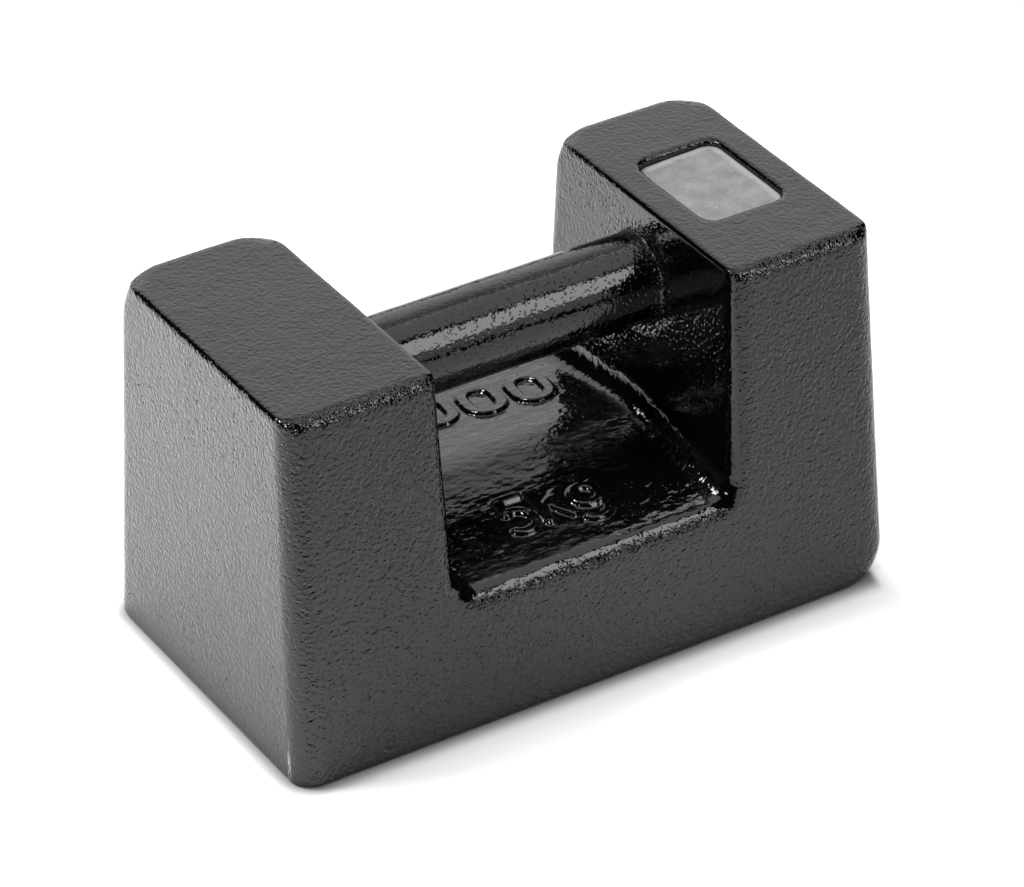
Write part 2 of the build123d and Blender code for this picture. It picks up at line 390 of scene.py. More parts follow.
@dataclass
class Casting:
    """The iron casting: tapered block, hand pocket, grip bar, adjusting cavity and raised figures."""

    height: float = 86.1
    base_length: float = 148.0
    base_width: float = 82.0
    top_length: float = 142.5
    top_width: float = 72.4
    corner_radius: float = 5.7
    top_edge_radius: float = 2.9
    back_edge_radius: float = 3.4
    end_edge_radius: float = 1.1
    foot_radius: float = 1.4
    pocket_width: float = 71.0
    pocket_draft: float = math.radians(1.7)
    pocket_corner_radius: float = 5.4
    mouth_radius: float = 3.9
    back_mouth_radius: float = 5.2
    floor_height: float = 32.0
    crown_rise: float = 5.2
    crown_radius: float = 30.0
    bar_radius: float = 10.05
    bar_height: float = 68.3
    bar_fillet: float = 0.35
    recess_width: float = 20.3
    recess_length: float = 29.3
    recess_corner_radius: float = 3.6
    recess_edge_radius: float = 0.8
    housing_flare: float = 0.6
    cavity_width: float = 13.2
    cavity_length: float = 23.0
    cavity_corner_radius: float = 3.0
    ledge: float = 1.8
    relief: float = 0.9
    relief_slope: float = 0.75
    blunt_reach: float = 25.0
    blunt_radius: float = 3.0

    value = Lettering("5kg", -1.0, -21.3, -2.0, 8.1, 5.6, 9.8, 2.1, 3.2)
    grams = Lettering("5000", 2.0, 21.6, -9.0, 11.4, 7.4, 11.4, 2.7)

    @property
    def recess_x(self) -> float:
        """Middle of the +X upright's top face."""
        return (self.pocket_width + self.top_length) / 4

    def floor_line(self, y: Array) -> Array:
        """Height of the pocket's floor: two slopes that meet in a rounded crown.

        Args:
            y: Places across the width.

        Returns:
            Heights above the base.
        """
        slope = self.floor_slope
        crown = self.floor_height + self.crown_rise
        peak = crown + self.crown_radius * (1 / math.cos(slope) - 1)
        slopes = peak - np.abs(y) * math.tan(slope)
        under = np.maximum(self.crown_radius**2 - y**2, 0)
        arch = peak - self.crown_radius / math.cos(slope) + np.sqrt(under)
        return np.where(np.abs(y) > self.crown_radius * math.sin(slope), slopes, arch)

    @property
    def floor_slope(self) -> float:
        """Slope of the floor on each side of its crown."""
        taper = (self.top_width - self.base_width) * self.floor_height / self.height
        return math.atan(self.crown_rise / ((self.base_width + taper) / 2))

    def distance(self, points: Array) -> Array:
        """Distance to the casting without its raised figures.

        Args:
            points: Places in millimetres, in the last axis.

        Returns:
            Distances, negative inside the iron.
        """
        x, y, z = np.moveaxis(points, -1, 0)
        end_lean = math.atan((self.base_length - self.top_length) / 2 / self.height)
        side_lean = math.atan((self.base_width - self.top_width) / 2 / self.height)
        end = (np.abs(x) + z * math.tan(end_lean) - self.base_length / 2) * math.cos(end_lean)
        side = (np.abs(y) + z * math.tan(side_lean) - self.base_width / 2) * math.cos(side_lean)
        block = round_cut(end, side, self.corner_radius)

        half_pocket = self.pocket_width / 2 - (self.height - z) * math.tan(self.pocket_draft)
        wall = (np.abs(x) - half_pocket) * math.cos(self.pocket_draft)
        floor = (self.floor_line(y) - z) * math.cos(self.floor_slope)
        pocket = round_cut(wall, floor, self.pocket_corner_radius)

        body = round_cut(block, -pocket, np.where(y > 0, self.back_mouth_radius, self.mouth_radius))
        broad = np.where(y > 0, self.back_edge_radius, self.top_edge_radius)
        share = np.clip((side - np.maximum(end, -pocket)) / 5 + 0.5, 0, 1)
        edge_radius = self.end_edge_radius + (broad - self.end_edge_radius) * share
        body = round_cut(body, z - self.height, edge_radius)
        body = round_cut(body, -z, self.foot_radius)
        body = self.blunt_corners(body, points)
        reach = (self.pocket_width / 2 + self.top_edge_radius) * np.ones_like(x)
        bar = np.hypot(y, z - self.bar_height) - self.bar_radius
        body = round_join(body, np.maximum(bar, np.abs(x) - reach), self.bar_fillet)
        return self.with_cavity(body, x, y, z)

    def blunt_corners(self, body: Array, points: Array) -> Array:
        """Round off the corners that the mould left blunt.

        Args:
            body: Distances to the casting with sharper corners.
            points: Places in millimetres, in the last axis.

        Returns:
            Distances with the corners rounded off.
        """
        top_x, top_y = self.top_length / 2, self.top_width / 2
        foot = ((self.base_length / 2, -self.base_width / 2, 0.0), (1, -1, -1), 4.4)
        outer = ((-top_x, top_y, self.height), (-1, 1, 1), 3.7)
        inner = ((-self.pocket_width / 2, top_y, self.height), (1, 1, 1), 3.3)
        facing = ((self.pocket_width / 2, top_y, self.height), (-1, 1, 1), 3.2)
        far = ((top_x, top_y, self.height), (1, 1, 1), 3.2)
        for corner, outwards, depth in (foot, outer, inner, facing, far):
            plane = (points - np.array(corner)) @ (np.array(outwards) / math.sqrt(3)) + depth
            near = np.linalg.norm(points - np.array(corner), axis=-1) < self.blunt_reach
            body = np.where(near, round_cut(body, plane, self.blunt_radius), body)
        return body

    def with_cavity(self, body: Array, x: Array, y: Array, z: Array) -> Array:
        """Cut the recess, the seal's flared housing, the plate's seat and the adjusting cavity.

        Args:
            body: Distances to the uncut casting.
            x: Places along the length.
            y: Places across the width.
            z: Heights.

        Returns:
            Distances to the cut casting.
        """
        seal_low, seal_high = (corner.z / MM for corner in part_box("lead_seal"))
        plate_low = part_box("closure_plate")[0].z / MM
        shot_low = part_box("adjusting_shot")[0].z / MM
        dx = x - self.recess_x
        half_x, half_y = self.recess_width / 2, self.recess_length / 2
        share = np.clip((seal_high - z) / (seal_high - seal_low), 0, 1)
        flare = self.housing_flare * share
        mouth = rounded_prism(dx, y, half_x + flare, half_y + flare, self.recess_corner_radius + flare)
        cut = round_cut(body, -np.maximum(mouth, seal_low - z), self.recess_edge_radius)
        half_x, half_y = self.cavity_width / 2, self.cavity_length / 2
        seat = rounded_prism(dx, y, half_x + self.ledge, half_y + self.ledge, self.cavity_corner_radius)
        seat = np.maximum(seat, np.maximum(plate_low - z, z - seal_low - 1))
        cavity = rounded_prism(dx, y, half_x, half_y, self.cavity_corner_radius)
        cavity = np.maximum(cavity, np.maximum(shot_low - z, z - plate_low - 1))
        return np.maximum(cut, -np.minimum(seat, cavity))

    def grid(self) -> SurfaceNet:
        """The grid of the mesh: fine along the rounded edges, wider over the flat faces."""
        half_x = [(33.5, 1.25), (37, 0.5), (47, 0.8), (61, 1.1), (69, 0.9), (self.base_length / 2 + 1, 0.5)]
        half_y = [(13.5, 1.2), (16, 0.7), (30, 1.15), (self.base_width / 2 + 1, 0.75)]
        up = [(2.6, 0.5), (29, 1.25), (45, 0.8), (81, 1.15), (self.height + 1.1, 0.5)]
        return SurfaceNet(mirrored_lines(half_x), mirrored_lines(half_y), graded_lines(-1.1, up))

    def refine_figures(self, mesh: Mesh) -> None:
        """Divide the floor under the raised figures more finely, and lift it to their form.

        Args:
            mesh: The casting's mesh.
        """
        margin, level, reach, cuts = 1.6, 0.9, 0.5, 3
        sheet = bmesh.new()
        sheet.from_mesh(mesh)
        rows = (self.value, self.grams)
        zones = []
        for row in rows:
            points = np.concatenate(row.placed_strokes())
            grow = row.stroke / 2 + margin
            zones.append((points.min(axis=0) - grow, points.max(axis=0) + grow))
        chosen = set()
        for face in sheet.faces:
            centre = np.array(face.calc_center_median()) / MM
            on_floor = face.normal.z > level and centre[2] < self.bar_height - self.bar_radius - 1
            inside = any((low < centre[:2]).all() and (centre[:2] < high).all() for low, high in zones)
            if on_floor and inside and centre[2] > self.floor_height - 1:
                chosen.update(face.edges)
        bmesh.ops.subdivide_edges(sheet, edges=list(chosen), cuts=cuts, use_grid_fill=True)
        bmesh.ops.triangulate(sheet, faces=[f for f in sheet.faces if len(f.verts) > 4])
        sheet.to_mesh(mesh)
        sheet.free()
        places = vertex_places(mesh)
        floor = self.floor_line(places[:, 1])
        near = np.abs(places[:, 2] - floor) < reach
        near &= np.abs(places[:, 0]) < self.pocket_width / 2 - 2 * self.pocket_corner_radius + 4
        lift = np.zeros(len(places))
        for row in rows:
            over = row.stroke / 2 + self.relief_slope / 2 - row.distance(places[near][:, :2])
            share = np.clip(over / self.relief_slope, 0, 1)
            rise = self.relief * share * share * (3 - 2 * share)
            lift[near] = np.maximum(lift[near], rise)
        places[:, 2] += lift
        mesh.vertices.foreach_set("co", (places * MM).ravel())
        mesh.polygons.foreach_set("use_smooth", [True] * len(mesh.polygons))
        mesh.update()

    def build(self, enamel: Material) -> Object:
        """Make the casting.

        Args:
            enamel: Material of its painted surface.

        Returns:
            The finished object.
        """
        vertices, quads = self.grid().build(self.distance)
        piece = mesh_object("casting", vertices, quads)
        self.refine_figures(piece.data)
        return CastRelief().apply(piece, enamel)


# Geometry Nodes


class NodeSheet:
    """A node tree with short ways to add nodes, for materials and for Geometry Nodes alike."""

    def __init__(self, tree: NodeTree) -> None:
        """Take over an empty or a fresh tree."""
        self.tree = tree

    def add(self, kind: str, settings: Optional[Feeds] = None, inputs: Optional[Feeds] = None) -> Node:
        """Add a node.

        Args:
            kind: The node's type.
            settings: Attributes, set before anything is linked.
            inputs: A value, a Value or a socket for each input, by name or number.

        Returns:
            The new node.
        """
        node = self.tree.nodes.new(kind)
        for name, setting in (settings or {}).items():
            setattr(node, name, setting)
        for key, feed in (inputs or {}).items():
            self.feed(node.inputs[key], feed)
        return node

    def feed(self, socket: NodeSocket, feed: object) -> None:
        """Link or set one input.

        Args:
            socket: The input.
            feed: A Value or a socket to link, or a plain value to set.
        """
        if isinstance(feed, Value):
            feed = feed.socket
        if isinstance(feed, NodeSocket):
            self.tree.links.new(feed, socket)
        else:
            socket.default_value = feed

    def value(self, socket: NodeSocket) -> "Value":
        """Wrap an output for arithmetic."""
        return Value(self, socket)


class Value:
    """A number in a node tree: Python's arithmetic on it adds Math nodes."""

    def __init__(self, sheet: NodeSheet, socket: NodeSocket) -> None:
        """Wrap an output socket of a node on a sheet."""
        self.sheet = sheet
        self.socket = socket

    def _math(self, operation: str, *operands: object) -> "Value":
        """Add a Math node with the given operands."""
        node = self.sheet.add("ShaderNodeMath", {"operation": operation}, dict(enumerate(operands)))
        return Value(self.sheet, node.outputs[0])

    def _between(self, operation: str, other: object) -> "Value":
        """Add a Math node with this value first and the other one second."""
        return self._math(operation, self, other)

    def __rsub__(self, other: object) -> "Value":
        """Difference, from a plain number."""
        return self._math("SUBTRACT", other, self)

    def __rtruediv__(self, other: object) -> "Value":
        """Quotient of a plain number."""
        return self._math("DIVIDE", other, self)

    def __abs__(self) -> "Value":
        """Size without the sign."""
        return self._math("ABSOLUTE", self)

    def ramp(self, low: float, high: float, start: float = 0.0, end: float = 1.0) -> "Value":
        """Ease from start to end as the value goes from low to high.

        Args:
            low: Where the ease starts.
            high: Where it ends.
            start: Result up to low.
            end: Result from high on.

        Returns:
            The eased value.
        """
        inputs = {"Value": self, "From Min": low, "From Max": high, "To Min": start, "To Max": end}
        node = self.sheet.add("ShaderNodeMapRange", {"interpolation_type": "SMOOTHSTEP"}, inputs)
        return Value(self.sheet, node.outputs["Result"])

    __add__ = partialmethod(_between, "ADD")
    __sub__ = partialmethod(_between, "SUBTRACT")
    __mul__ = partialmethod(_between, "MULTIPLY")
    __truediv__ = partialmethod(_between, "DIVIDE")
    __pow__ = partialmethod(_between, "POWER")
    larger = partialmethod(_between, "MAXIMUM")
    over = partialmethod(_between, "GREATER_THAN")


class GeometryTree(NodeSheet):
    """A Geometry Nodes tree with named inputs, run once on an object and then turned into a mesh."""

    def __init__(self, name: str) -> None:
        """Start an empty tree that takes and gives geometry."""
        super().__init__(bpy.data.node_groups.new(name, "GeometryNodeTree"))
        self.identifiers: dict[str, str] = {}
        self.values: dict[str, object] = {}
        for way in ("OUTPUT", "INPUT"):
            self.tree.interface.new_socket("Geometry", in_out=way, socket_type="NodeSocketGeometry")
        self.entry = self.add("NodeGroupInput")
        self.exit = self.add("NodeGroupOutput")

    def input(self, name: str, kind: str, value: object) -> NodeSocket:
        """Add a named input of the tree.

        Args:
            name: The input's name.
            kind: Its socket type.
            value: What the modifier gives it.

        Returns:
            The socket inside the tree.
        """
        made = self.tree.interface.new_socket(name, in_out="INPUT", socket_type=kind)
        self.identifiers[name] = made.identifier
        self.values[name] = value
        return self.entry.outputs[name]

    def number(self, name: str, value: float) -> Value:
        """Add a named number as an input, ready for arithmetic."""
        return self.value(self.input(name, "NodeSocketFloat", value))

    def dress(self, geometry: NodeSocket, finish: NodeSocket) -> None:
        """Give the geometry its material and send it out of the tree."""
        dressed = self.add("GeometryNodeSetMaterial", inputs={0: geometry, "Material": finish})
        self.feed(self.exit.inputs[0], dressed.outputs[0])

    def run(self, carrier: Object, name: str) -> Mesh:
        """Run the tree on an object and take the result as a plain mesh.

        Args:
            carrier: The object whose geometry goes in. It is left as it was.
            name: Name of the resulting mesh.

        Returns:
            The new mesh.
        """
        modifier = carrier.modifiers.new(self.tree.name, "NODES")
        modifier.node_group = self.tree
        for key, identifier in self.identifiers.items():
            modifier[identifier] = self.values[key]
        bpy.context.view_layer.update()
        graph = bpy.context.evaluated_depsgraph_get()
        mesh = bpy.data.meshes.new_from_object(carrier.evaluated_get(graph))
        carrier.modifiers.remove(modifier)
        mesh.name = name
        return mesh


@dataclass(frozen=True)
class CastRelief:
    """Unevenness of the as-cast skin: long waves from the mould and short lumps of sand and paint."""

    wave_height: float = 0.22 * MM
    wave_length: float = 22 * MM
    lump_height: float = 0.16 * MM
    lump_length: float = 4.2 * MM
    flat_foot: float = 1.5 * MM

    def apply(self, piece: Object, material: Material) -> Object:
        """Displace a piece along its normals.

        Args:
            piece: The smooth piece.
            material: Material of the result.

        Returns:
            The same object with the displaced mesh.
        """
        tree = GeometryTree("cast_relief")
        geometry = tree.entry.outputs[0]
        wave_height = tree.number("Wave height", self.wave_height)
        wave_length = tree.number("Wave length", self.wave_length)
        lump_height = tree.number("Lump height", self.lump_height)
        lump_length = tree.number("Lump length", self.lump_length)
        flat_foot = tree.number("Flat foot", self.flat_foot)
        finish = tree.input("Material", "NodeSocketMaterial", material)
        position = tree.add("GeometryNodeInputPosition").outputs[0]
        waves = self._noise(tree, position, 1 / wave_length, 1.0)
        lumps = self._noise(tree, position, 1 / lump_length, 2.0)
        height = tree.value(tree.add("ShaderNodeSeparateXYZ", inputs={0: position}).outputs["Z"])
        above = (height / flat_foot).ramp(0.4, 2.0)
        rise = (waves * wave_height + lumps * lump_height) * above
        normal = tree.add("GeometryNodeInputNormal").outputs[0]
        offset = tree.add("ShaderNodeVectorMath", {"operation": "SCALE"}, {0: normal, "Scale": rise})
        moved = tree.add("GeometryNodeSetPosition", inputs={"Geometry": geometry, "Offset": offset.outputs[0]})
        tree.dress(moved.outputs[0], finish)
        piece.data = tree.run(piece, piece.name)
        return piece

    @staticmethod
    def _noise(tree: GeometryTree, position: object, scale: Value, detail: float) -> Value:
        """Noise about zero, from about -0.5 to 0.5."""
        inputs = {"Vector": position, "Scale": scale, "Detail": detail, "Roughness": 0.5}
        return tree.value(tree.add("ShaderNodeTexNoise", inputs=inputs).outputs[0]) - 0.5


@dataclass(frozen=True)
class EnamelFaults:
    """Small round nibs in the enamel, scattered over a painted piece."""

    density: float = 11000.0
    radius: float = 0.17 * MM
    height_share: float = 0.45
    least: float = 0.35
    most: float = 1.25
    clear_foot: float = 3 * MM
    seed: int = 7

    def build(self, carrier: Object, material: Material) -> Object:
        """Scatter the nibs.

        Args:
            carrier: The painted piece.
            material: Material of the nibs.

        Returns:
            A new object with all the nibs.
        """
        tree = GeometryTree("enamel_nibs")
        geometry = tree.entry.outputs[0]
        density = tree.number("Density", self.density)
        radius = tree.number("Radius", self.radius)
        share = tree.number("Height share", self.height_share)
        seed = tree.input("Seed", "NodeSocketInt", self.seed)
        finish = tree.input("Material", "NodeSocketMaterial", material)
        clear = tree.number("Clear foot", self.clear_foot)
        position = tree.add("GeometryNodeInputPosition").outputs[0]
        height = tree.value(tree.add("ShaderNodeSeparateXYZ", inputs={0: position}).outputs["Z"])
        inputs = {"Mesh": geometry, "Selection": height.over(clear), "Density": density, "Seed": seed}
        points = tree.add("GeometryNodeDistributePointsOnFaces", inputs=inputs)
        nib = tree.add("GeometryNodeMeshIcoSphere", inputs={"Radius": radius, "Subdivisions": 1})
        squash = tree.add("ShaderNodeCombineXYZ", inputs={0: 1.0, 1: 1.0, 2: share})
        flat = tree.add("GeometryNodeTransform", inputs={"Geometry": nib.outputs[0], "Scale": squash.outputs[0]})
        size = tree.add("FunctionNodeRandomValue", {"data_type": "FLOAT"}, {2: self.least, 3: self.most, "Seed": seed})
        spread = tree.value(size.outputs[1]) ** 2.0
        inputs = {"Points": points.outputs["Points"], "Instance": flat.outputs[0]}
        inputs.update({"Rotation": points.outputs["Rotation"], "Scale": spread})
        placed = tree.add("GeometryNodeInstanceOnPoints", inputs=inputs)
        real = tree.add("GeometryNodeRealizeInstances", inputs={0: placed.outputs[0]})
        smooth = tree.add("GeometryNodeSetShadeSmooth", inputs={"Geometry": real.outputs[0]})
        tree.dress(smooth.outputs[0], finish)
        return linked("enamel_nibs", tree.run(carrier, "enamel_nibs"))


# The lead seal


@dataclass
class LeadSeal:
    """The lead plug that closes the adjusting cavity, hammered down inside its housing."""

    flare: float = 0.6
    corner_radius: float = 3.6
    edge_radius: float = 0.3
    dish: float = 0.35
    rim: float = 2.4
    unevenness: float = 0.16
    tilt: float = 0.04
    spacing: float = 0.4
    ripples: int = 9
    ripple_rate: float = 0.42
    foot_radius: float = 0.1

    def build(self, material: Material) -> Object:
        """Make the seal.

        Args:
            material: The lead.

        Returns:
            The finished object.
        """
        low, high = (np.array(corner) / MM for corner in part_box("lead_seal"))
        middle = (low + high) / 2
        half = (high - low) / 2 - self.flare
        waves = np.random.default_rng(5).normal(size=(self.ripples, 2)) * self.ripple_rate
        phases = np.random.default_rng(6).uniform(0, math.tau, self.ripples)

        def distance(points: Array) -> Array:
            """Distance to the seal."""
            x, y, z = points[..., 0] - middle[0], points[..., 1] - middle[1], points[..., 2]
            flare = self.flare * np.clip((high[2] - z) / (high[2] - low[2]), 0, 1)
            plug = rounded_prism(x, y, half[0] + flare, half[1] + flare, self.corner_radius + flare)
            inset = np.clip(-plug / self.rim, 0, 1)
            ripple = sum(np.sin(x * a + y * b + c) for (a, b), c in zip(waves, phases)) / len(waves)
            top = high[2] + self.tilt * x - self.dish * inset * inset * (3 - 2 * inset)
            top = top + self.unevenness * (ripple - 0.6)
            return round_cut(round_cut(plug, z - top, self.edge_radius), low[2] - z, self.foot_radius)

        lines = [graded_lines(a - 0.9, [(b + 0.9, self.spacing)]) for a, b in zip(low, high)]
        piece = mesh_object("lead_seal_cast", *SurfaceNet(*lines).build(distance))
        piece.data.materials.append(material)
        return piece


# Finishes


class MaterialSheet(NodeSheet):
    """The node sheet of a new material, with its patterns in object coordinates."""

    def __init__(self, name: str) -> None:
        """Start a material with an empty tree."""
        self.material = bpy.data.materials.new(name)
        self.material.use_nodes = True
        super().__init__(self.material.node_tree)
        self.tree.nodes.clear()
        self.place = self.add("ShaderNodeTexCoord").outputs["Object"]

    def noise(
        self,
        size: float,
        detail: float = 2.0,
        roughness: float = 0.5,
        shift: float = 0.0,
        squeeze: Triple = (1.0, 1.0, 1.0),
    ) -> Value:
        """Noise from 0 to 1.

        Args:
            size: Size of its lumps, in metres.
            detail: Number of finer layers.
            roughness: Strength of the finer layers.
            shift: Moves the pattern, to make an independent one.
            squeeze: Factors on the coordinates: below 1, the lumps are longer along that axis.

        Returns:
            The noise.
        """
        vector = self.placed(shift, squeeze)
        inputs = {"Vector": vector, "Scale": 1 / size, "Detail": detail, "Roughness": roughness}
        return self.value(self.add("ShaderNodeTexNoise", inputs=inputs).outputs[0])

    def placed(self, shift: float, squeeze: Triple) -> NodeSocket:
        """Object coordinates, multiplied by squeeze and moved by shift along all axes."""
        inputs = {0: self.place, 1: squeeze, 2: (shift, shift, shift)}
        return self.add("ShaderNodeVectorMath", {"operation": "MULTIPLY_ADD"}, inputs).outputs[0]

    def axis(self, name: str) -> Value:
        """One of the object coordinates."""
        return self.value(self.add("ShaderNodeSeparateXYZ", inputs={0: self.place}).outputs[name])

    def tint(self, share: Value, low: Sequence[float], high: Sequence[float]) -> NodeSocket:
        """Mix a low and a high colour, share saying how much of the high one."""
        inputs = {"Factor": share, 6: (*low, 1.0), 7: (*high, 1.0)}
        return self.add("ShaderNodeMix", {"data_type": "RGBA"}, inputs).outputs[2]

    def bump(self, height: Value, depth: float) -> NodeSocket:
        """Normal of a height pattern, of which one unit is depth metres high."""
        return self.add("ShaderNodeBump", inputs={"Height": height, "Distance": depth}).outputs[0]

    def finish(self, inputs: Feeds) -> Material:
        """Close the material with one Principled shader.

        Args:
            inputs: The shader's inputs.

        Returns:
            The material.
        """
        shader = self.add("ShaderNodeBsdfPrincipled", inputs=inputs)
        self.add("ShaderNodeOutputMaterial", inputs={"Surface": shader.outputs[0]})
        return self.material


@dataclass
class Skin:
    """The painted skin of the casting: each method gives 1 on one part of it, and 0 elsewhere."""

    sheet: MaterialSheet
    casting: Casting
    side_taper: float = 0.056
    bare_height: float = 12 * MM

    def __post_init__(self) -> None:
        """Take the places on the skin."""
        self.x, self.y, self.z = (self.sheet.axis(name) for name in "XYZ")

    def near_bar(self, full: float, none: float) -> Value:
        """Round the grip bar, fading between two distances from its skin.

        Args:
            full: Distance up to which the result is 1.
            none: Distance from which on it is 0.

        Returns:
            The fading value.
        """
        z = self.z - self.casting.bar_height * MM
        radius = self.casting.bar_radius * MM
        return ((self.y * self.y + z * z) ** 0.5).ramp(radius + full, radius + none, 1, 0)

    def bar(self) -> Value:
        """The grip bar."""
        return self.near_bar(0.6 * MM, 2 * MM) * abs(self.x).ramp(31 * MM, 35 * MM, 1, 0)

    def joint(self) -> Value:
        """The foot of the grip bar, where it runs into the uprights."""
        across = abs(self.x)
        near = self.near_bar(1.5 * MM, 5 * MM)
        return near * across.ramp(30 * MM, 33.5 * MM) * across.ramp(36.5 * MM, 38 * MM, 1, 0)

    def wall(self) -> Value:
        """The pocket's upright walls."""
        across = abs(self.x)
        half = self.casting.pocket_width / 2 * MM
        floor = self.casting.floor_height * MM
        beside = across.ramp(half + 0.2 * MM, half + 1 * MM, 1, 0) * across.ramp(33 * MM, 34 * MM)
        return beside * self.z.ramp(floor + 3 * MM, floor + 8 * MM)

    def floor(self) -> Value:
        """The pocket's floor."""
        half = self.casting.pocket_width / 2 * MM
        floor = self.casting.floor_height * MM
        inside = abs(self.x).ramp(half - 1 * MM, half + 1 * MM, 1, 0)
        above = self.z.ramp(floor - 1.5 * MM, floor)
        return inside * above * self.z.ramp(floor + 7 * MM, floor + 14 * MM, 1, 0)

    def top(self) -> Value:
        """The flat part of the top faces."""
        high = self.casting.height * MM
        flat = (self.casting.top_width / 2 - self.casting.top_edge_radius) * MM
        return self.z.ramp(high - 0.6 * MM, high - 0.2 * MM) * abs(self.y).ramp(flat, flat + 0.8 * MM, 1, 0)

    def rim(self) -> Value:
        """The top faces and the rounded edges round them."""
        high = self.casting.height * MM
        return self.z.ramp(high - 3 * MM, high - 2 * MM)

    def side(self) -> Value:
        """The long sides."""
        return (abs(self.y) + self.z * self.side_taper).ramp(38.6 * MM, 40.4 * MM)

    def worn_corner(self) -> Value:
        """The foot of the front left corner, where it is rubbed bare."""
        start = (self.casting.base_width / 2 - self.casting.corner_radius) * MM
        across = self.z * self.side_taper - self.y - start
        line = across.ramp(-0.1 * MM, 0.3 * MM) * across.ramp(0.6 * MM, 1.3 * MM, 1, 0)
        line = line * self.x.ramp(-72 * MM, -70 * MM, 1, 0)
        line = line * self.z.ramp(0.3 * self.bare_height, self.bare_height, 1, 0)
        return line * self.sheet.noise(0.9 * MM, 2.0, 0.6, 0.47, (1.0, 1.0, 0.35)).ramp(0.36, 0.54)


@dataclass(frozen=True)
class Enamel:
    """Gloss black enamel that follows the pitted skin of the iron under it."""

    colour: Triple = (0.002, 0.002, 0.002)
    roughness: float = 0.06
    index: float = 1.6
    peel_size: float = 0.95 * MM
    end_peel: float = 1.7
    side_peel: float = 3.8
    top_peel: float = 1.2
    grit_size: float = 0.4 * MM
    grit_share: float = 0.9
    grit_height: float = 17 * MM
    peel_depth: float = 0.12 * MM
    pit_size: float = 0.8 * MM
    pit_share: float = 1.1
    pool_size: float = 2.6 * MM
    pool_share: float = 2.2
    wall_share: float = 1.6
    wall_calm: float = 0.75
    edge_share: float = 0.6
    bar_calm: float = 0.7
    floor_calm: float = 0.82
    bare: Triple = (0.5, 0.5, 0.5)
    patch_size: float = 24 * MM
    cloud_size: float = 9 * MM

    def material(self, casting: Casting) -> Material:
        """Make the material.

        Args:
            casting: The painted casting, whose bar and pocket floor are smoother than the rest.

        Returns:
            The enamel.
        """
        sheet = MaterialSheet("black_enamel")
        skin = Skin(sheet, casting)
        bar, floor, wall, top, joint = skin.bar(), skin.floor(), skin.wall(), skin.top(), skin.joint()
        side = skin.side() * (1 - floor)
        strong = side.larger(skin.rim() * self.edge_share).larger(joint)
        strength = strong * (self.side_peel - self.end_peel) + self.end_peel
        strength = strength * (1 - top) + top * self.top_peel
        peel = (sheet.noise(self.peel_size, 1.0) - 0.5) * strength
        grit = sheet.noise(self.grit_size, 1.0, shift=0.66) - 0.5
        grit = grit * skin.z.ramp(3 * MM, self.grit_height, 1, 0)
        peel = peel + grit * ((1 - side) * self.grit_share)
        pitted = sheet.noise(self.patch_size, 1.0, shift=0.83).ramp(0.36, 0.62, 0.4, 1.0) * (1 - top)
        pitted = pitted * skin.z.ramp(25 * MM, 70 * MM, 0.8, 1.6)
        pits = sheet.noise(self.pit_size, 0.5, shift=0.31).ramp(0.24, 0.42) - 1
        pools = sheet.noise(self.pool_size, 1.5, 0.6, 0.57, (0.6, 1.0, 1.0)) - 0.5
        back = skin.y.ramp(2 * MM, 12 * MM)
        rough = (peel + pits * pitted * self.pit_share) * (1 - bar * self.bar_calm - floor * self.floor_calm)
        rough = rough * (1 - wall * (1 - back) * (1 - joint) * self.wall_calm)
        height = rough + pools * (floor * self.pool_share + wall * back * self.wall_share)
        clouds = sheet.noise(self.cloud_size, 2.0, 0.6, 0.11)
        worn = skin.worn_corner()
        gloss = clouds.ramp(0.3, 0.7, self.roughness * 0.8, self.roughness * 1.3)
        return sheet.finish(
            {
                "Base Color": sheet.tint(worn, self.colour, self.bare),
                "Roughness": gloss + worn * 0.4,
                "IOR": self.index,
                "Normal": sheet.bump(height, self.peel_depth),
            }
        )


